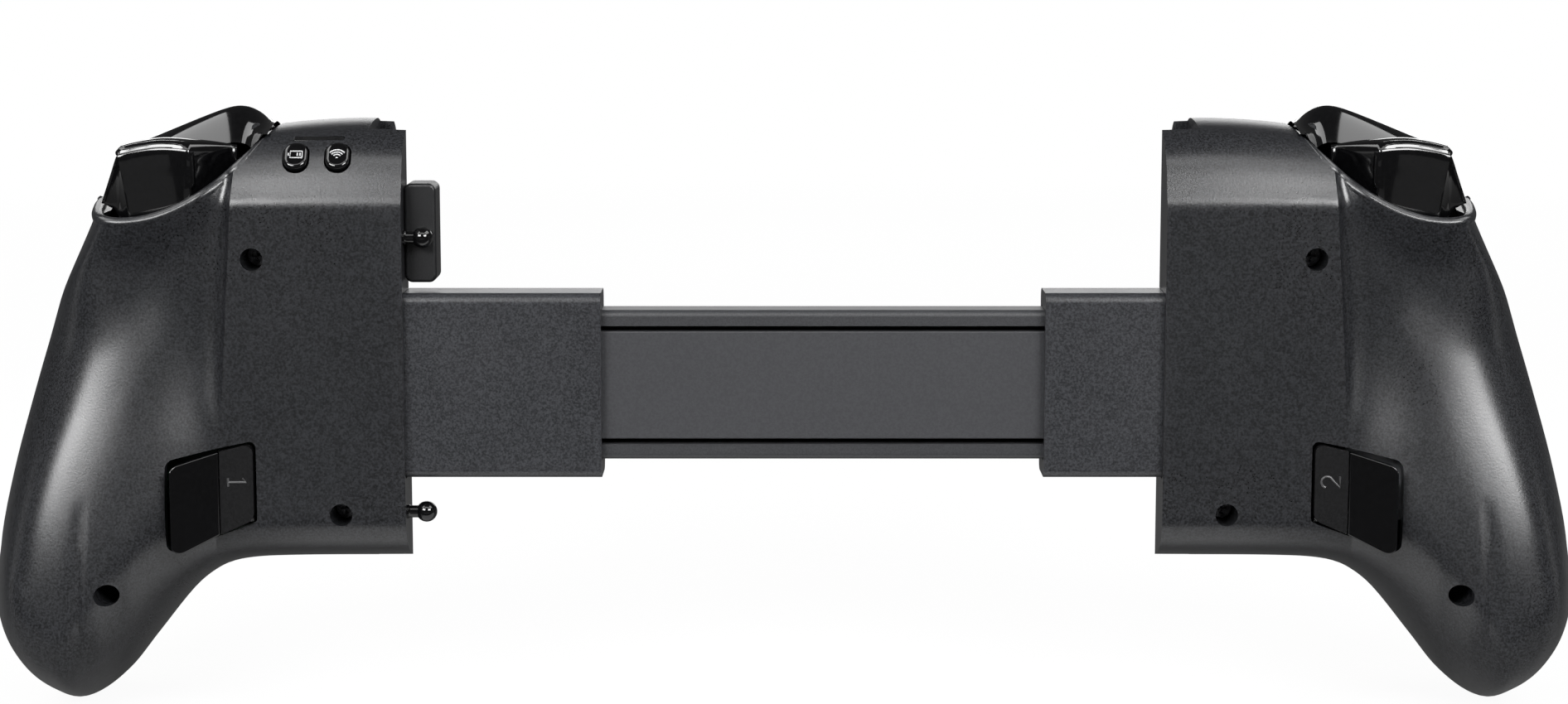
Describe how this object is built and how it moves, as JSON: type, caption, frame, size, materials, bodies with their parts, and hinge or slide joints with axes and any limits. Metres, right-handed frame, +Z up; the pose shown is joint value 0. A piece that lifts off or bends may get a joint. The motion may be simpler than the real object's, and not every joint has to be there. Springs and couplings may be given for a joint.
{
  "type": "telescopic mobile game controller",
  "caption": "Two contoured grips with sticks, buttons, triggers and rear keys on a telescopic spring bridge that clamps a handset between them.",
  "frame": {"origin": "middle of the plane on which the handset rests, halfway between the slot ends at rest and at mid height of the bridge", "axes": "+X to the left-hand grip, +Y from the back of the controller to the player, +Z up"},
  "size_m": [0.3, 0.0509, 0.1128],
  "materials": {
    "shell": "charcoal, fine spark-eroded grain",
    "cover": "charcoal, smoother grain",
    "gloss": "piano black",
    "rubber": "soft black",
    "steel": "plain steel",
    "inner_plastic": "natural acetal",
    "board": "green solder mask",
    "film": "amber film",
    "light": "milky clear"
  },
  "bodies": {
    "left_half": {"rail_frame": "shell", "rail_cover": "cover", "return_spring": "steel", "flex_cable": "film", "left_rear_shell": "shell", "left_front_shell": "shell", "left_sleeve": "shell", "left_rest_pad": "rubber", "left_slot_pad": "rubber", "left_board": "board", "left_screws": "steel", "left_membrane": "rubber", "battery": "film", "left_stick_module": "steel", "dpad_module": "steel", "left_trigger_bracket": "inner_plastic", "left_trigger_pin": "steel", "left_trigger_spring": "steel", "left_macro_pin": "steel"},
    "right_half": {"right_rear_shell": "shell", "right_front_shell": "shell", "right_sleeve": "shell", "right_rest_pad": "rubber", "right_slot_pad": "rubber", "right_board": "board", "right_screws": "steel", "right_membrane": "rubber", "spring_arm": "steel", "usb_port": "steel", "status_light": "light", "rest_block": "rubber", "ball_posts": "gloss", "right_stick_module": "steel", "right_trigger_bracket": "inner_plastic", "right_trigger_pin": "steel", "right_trigger_spring": "steel", "right_macro_pin": "steel"},
    "left_stick_rocker": {"left_stick_rocker": "inner_plastic"},
    "left_stick": {"left_stick": "rubber"},
    "dpad_rocker": {"dpad_rocker": "inner_plastic"},
    "dpad": {"dpad": "gloss"},
    "view_button": {"view_button": "gloss"},
    "share_button": {"share_button": "gloss"},
    "left_trigger": {"left_trigger": "gloss"},
    "left_bumper": {"left_bumper": "gloss"},
    "left_macro_button": {"left_macro_button": "gloss"},
    "right_stick_rocker": {"right_stick_rocker": "inner_plastic"},
    "right_stick": {"right_stick": "rubber"},
    "face_button_top": {"face_button_top": "gloss"},
    "face_button_bottom": {"face_button_bottom": "gloss"},
    "face_button_inner": {"face_button_inner": "gloss"},
    "face_button_outer": {"face_button_outer": "gloss"},
    "menu_button": {"menu_button": "gloss"},
    "home_button": {"home_button": "gloss"},
    "battery_button": {"battery_button": "gloss"},
    "radio_button": {"radio_button": "gloss"},
    "right_trigger": {"right_trigger": "gloss"},
    "right_bumper": {"right_bumper": "gloss"},
    "right_macro_button": {"right_macro_button": "gloss"}
  },
  "joints": [
    {"name": "bridge_slide", "type": "slide", "parent": "left_half", "child": "right_half", "axis": [-1, 0, 0], "range_m": [-0.031, 0.026], "deforming": ["return_spring", "flex_cable"]},
    {"name": "left_trigger_pull", "type": "hinge", "parent": "left_half", "child": "left_trigger", "pos_m": [0.1136, -0.004, 0.04], "axis": [1, 0, 0], "range_deg": [0, 14], "stiffness_Nm_per_rad": 0.08},
    {"name": "left_bumper_press", "type": "hinge", "parent": "left_half", "child": "left_bumper", "pos_m": [0.0986, 0.006, 0.0466], "axis": [0, 1, 0], "range_deg": [0, 3], "stiffness_Nm_per_rad": 0.5},
    {"name": "left_macro_press", "type": "hinge", "parent": "left_half", "child": "left_macro_button", "pos_m": [0.0994, -0.0098, -0.02], "axis": [0, 0, 1], "range_deg": [0, 5], "stiffness_Nm_per_rad": 0.2},
    {"name": "left_stick_up_down", "type": "hinge", "parent": "left_half", "child": "left_stick_rocker", "pos_m": [0.1121, 0.006, 0.017], "axis": [1, 0, 0], "range_deg": [-18, 18], "stiffness_Nm_per_rad": 0.02},
    {"name": "left_stick_side", "type": "hinge", "parent": "left_stick_rocker", "child": "left_stick", "pos_m": [0.1121, 0.006, 0.017], "axis": [0, 0, 1], "range_deg": [-18, 18], "stiffness_Nm_per_rad": 0.02},
    {"name": "right_trigger_pull", "type": "hinge", "parent": "right_half", "child": "right_trigger", "pos_m": [-0.1136, -0.004, 0.04], "axis": [1, 0, 0], "range_deg": [0, 14], "stiffness_Nm_per_rad": 0.08},
    {"name": "right_bumper_press", "type": "hinge", "parent": "right_half", "child": "right_bumper", "pos_m": [-0.0986, 0.006, 0.0466], "axis": [0, -1, 0], "range_deg": [0, 3], "stiffness_Nm_per_rad": 0.5},
    {"name": "right_macro_press", "type": "hinge", "parent": "right_half", "child": "right_macro_button", "pos_m": [-0.0994, -0.0098, -0.02], "axis": [0, 0, -1], "range_deg": [0, 5], "stiffness_Nm_per_rad": 0.2},
    {"name": "right_stick_up_down", "type": "hinge", "parent": "right_half", "child": "right_stick_rocker", "pos_m": [-0.094, 0.006, -0.012], "axis": [1, 0, 0], "range_deg": [-18, 18], "stiffness_Nm_per_rad": 0.02},
    {"name": "right_stick_side", "type": "hinge", "parent": "right_stick_rocker", "child": "right_stick", "pos_m": [-0.094, 0.006, -0.012], "axis": [0, 0, 1], "range_deg": [-18, 18], "stiffness_Nm_per_rad": 0.02},
    {"name": "dpad_up_down", "type": "hinge", "parent": "left_half", "child": "dpad_rocker", "pos_m": [0.094, 0.011, -0.012], "axis": [1, 0, 0], "range_deg": [-5, 5], "stiffness_Nm_per_rad": 0.1},
    {"name": "dpad_side", "type": "hinge", "parent": "dpad_rocker", "child": "dpad", "pos_m": [0.094, 0.011, -0.012], "axis": [0, 0, 1], "range_deg": [-5, 5], "stiffness_Nm_per_rad": 0.1},
    {"name": "face_button_top_press", "type": "slide", "parent": "right_half", "child": "face_button_top", "axis": [0, -1, 0], "range_m": [0, 0.0012], "stiffness_N_per_m": 500},
    {"name": "face_button_bottom_press", "type": "slide", "parent": "right_half", "child": "face_button_bottom", "axis": [0, -1, 0], "range_m": [0, 0.0012], "stiffness_N_per_m": 500},
    {"name": "face_button_inner_press", "type": "slide", "parent": "right_half", "child": "face_button_inner", "axis": [0, -1, 0], "range_m": [0, 0.0012], "stiffness_N_per_m": 500},
    {"name": "face_button_outer_press", "type": "slide", "parent": "right_half", "child": "face_button_outer", "axis": [0, -1, 0], "range_m": [0, 0.0012], "stiffness_N_per_m": 500},
    {"name": "menu_button_press", "type": "slide", "parent": "right_half", "child": "menu_button", "axis": [0, -1, 0], "range_m": [0, 0.0008], "stiffness_N_per_m": 500},
    {"name": "home_button_press", "type": "slide", "parent": "right_half", "child": "home_button", "axis": [0, -1, 0], "range_m": [0, 0.0008], "stiffness_N_per_m": 500},
    {"name": "view_button_press", "type": "slide", "parent": "left_half", "child": "view_button", "axis": [0, -1, 0], "range_m": [0, 0.0008], "stiffness_N_per_m": 500},
    {"name": "share_button_press", "type": "slide", "parent": "left_half", "child": "share_button", "axis": [0, -1, 0], "range_m": [0, 0.0008], "stiffness_N_per_m": 500},
    {"name": "battery_button_press", "type": "slide", "parent": "right_half", "child": "battery_button", "axis": [0, 0.8048, -0.5935], "range_m": [0, 0.0006], "stiffness_N_per_m": 500},
    {"name": "radio_button_press", "type": "slide", "parent": "right_half", "child": "radio_button", "axis": [0, 0.8048, -0.5935], "range_m": [0, 0.0006], "stiffness_N_per_m": 500}
  ]
}
